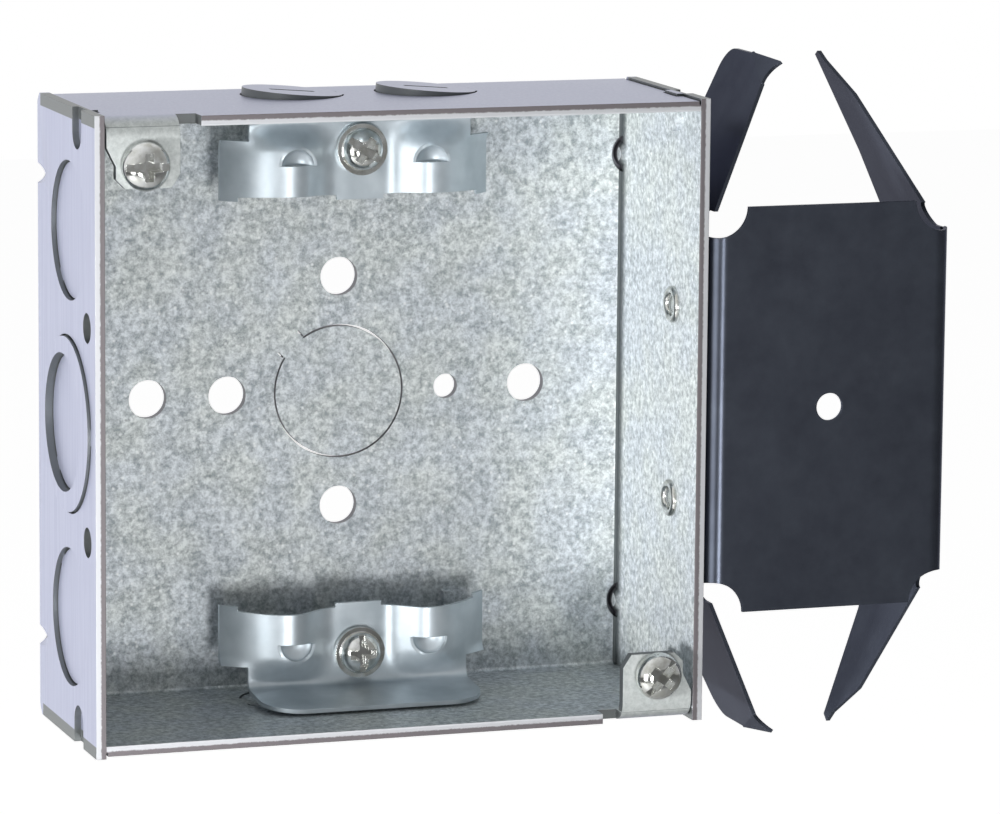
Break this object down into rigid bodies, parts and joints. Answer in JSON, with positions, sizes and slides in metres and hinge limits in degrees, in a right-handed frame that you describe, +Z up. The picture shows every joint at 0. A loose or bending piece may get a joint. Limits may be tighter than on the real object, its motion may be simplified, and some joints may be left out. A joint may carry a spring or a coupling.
{
  "type": "square electrical box",
  "caption": "Square folded steel electrical box with knockouts, cable clamps, cover screws on folded ears and a dark spring-steel bracket that clips it to a metal stud.",
  "frame": {"origin": "middle of the outer face of the back", "axes": "+Y out of the back into the wall, so the opening faces -Y; +Z up; +X right, towards the stud bracket"},
  "size_m": [0.1445, 0.0413, 0.113],
  "materials": {
    "galvanised_sheet": "galvanised with a fine spangle inside, smooth outside",
    "zinc_clamp": "bright zinc plate",
    "zinc_screw": "bright zinc plate, faintly yellow in the recesses",
    "black_spring_steel": "blue-black oxide, satin",
    "rivet_steel": "zinc plate, rolled over"
  },
  "bodies": {
    "box": {"box_shell": "galvanised_sheet", "stud_bracket": "black_spring_steel", "bracket_rivet_upper": "rivet_steel", "bracket_rivet_lower": "rivet_steel"},
    "upper_cover_screw": {"cover_screw_upper": "zinc_screw"},
    "lower_cover_screw": {"cover_screw_lower": "zinc_screw"},
    "upper_cable_clamp": {"upper_clamp": "zinc_clamp"},
    "lower_cable_clamp": {"lower_clamp": "zinc_clamp"},
    "upper_screw": {"upper_clamp_screw": "zinc_screw"},
    "lower_screw": {"lower_clamp_screw": "zinc_screw"}
  },
  "joints": [
    {"name": "upper_cover_screw_out", "type": "slide", "parent": "box", "child": "upper_cover_screw", "axis": [0, -1, 0], "range_m": [-0.0005, 0.006]},
    {"name": "lower_cover_screw_out", "type": "slide", "parent": "box", "child": "lower_cover_screw", "axis": [0, -1, 0], "range_m": [-0.0005, 0.006]},
    {"name": "upper_clamp_press", "type": "slide", "parent": "box", "child": "upper_cable_clamp", "axis": [0, 1, 0], "range_m": [0, 0.006]},
    {"name": "lower_clamp_press", "type": "slide", "parent": "box", "child": "lower_cable_clamp", "axis": [0, 1, 0], "range_m": [0, 0.006]},
    {"name": "upper_clamp_screw_turn", "type": "hinge", "parent": "upper_cable_clamp", "child": "upper_screw", "pos_m": [0, -0.0131, 0.0414], "axis": [0, 1, 0], "range_deg": [0, 2722]},
    {"name": "lower_clamp_screw_turn", "type": "hinge", "parent": "lower_cable_clamp", "child": "lower_screw", "pos_m": [0, -0.0131, -0.0414], "axis": [0, 1, 0], "range_deg": [0, 2722]}
  ],
  "couplings": [
    {"joint": "upper_clamp_screw_turn", "follows": "upper_clamp_press", "rad_per_m": 7915.8},
    {"joint": "lower_clamp_screw_turn", "follows": "lower_clamp_press", "rad_per_m": 7915.8}
  ]
}
